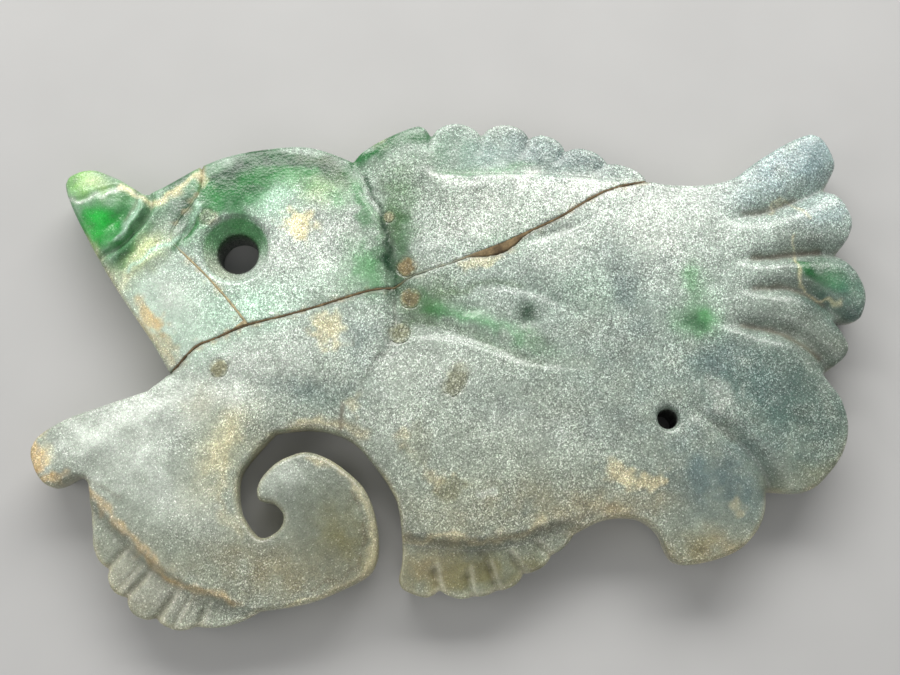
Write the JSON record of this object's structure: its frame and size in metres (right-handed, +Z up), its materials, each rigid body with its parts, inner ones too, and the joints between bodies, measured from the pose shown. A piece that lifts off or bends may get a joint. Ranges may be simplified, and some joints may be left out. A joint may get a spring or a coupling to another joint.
{
  "type": "carved jade fish-bird plaque",
  "caption": "Flat carved jade plaque of a fish-like bird with a drilled eye, scalloped crest, curled chin, lobed tail and a cord hole, bedded together along two seams.",
  "frame": {"origin": "centre of the bounding box at the flat back the plaque lies on", "axes": "+X from the snout towards the tail, +Y from the belly towards the crest, +Z up out of the carved face"},
  "size_m": [0.1194, 0.0744, 0.009],
  "materials": {
    "body_stone": "polished, mottled jade",
    "head_stone": "polished, mottled jade",
    "snout_stone": "polished, mottled jade",
    "seam_filler": "matt, gritty earth",
    "cheek_filler": "matt, gritty earth",
    "packed_earth": "matt, gritty earth"
  },
  "bodies": {
    "root": {"body_fragment": "body_stone", "head_fragment": "head_stone", "snout_fragment": "snout_stone", "long_seam_fill": "seam_filler", "snout_seam_fill": "cheek_filler", "collar_pit_fill_1": "packed_earth", "collar_pit_fill_2": "packed_earth", "collar_pit_fill_3": "packed_earth", "collar_pit_fill_4": "packed_earth", "brow_pit_fill": "packed_earth", "throat_pit_fill": "packed_earth", "flank_pit_fill": "packed_earth"}
  },
  "joints": []
}
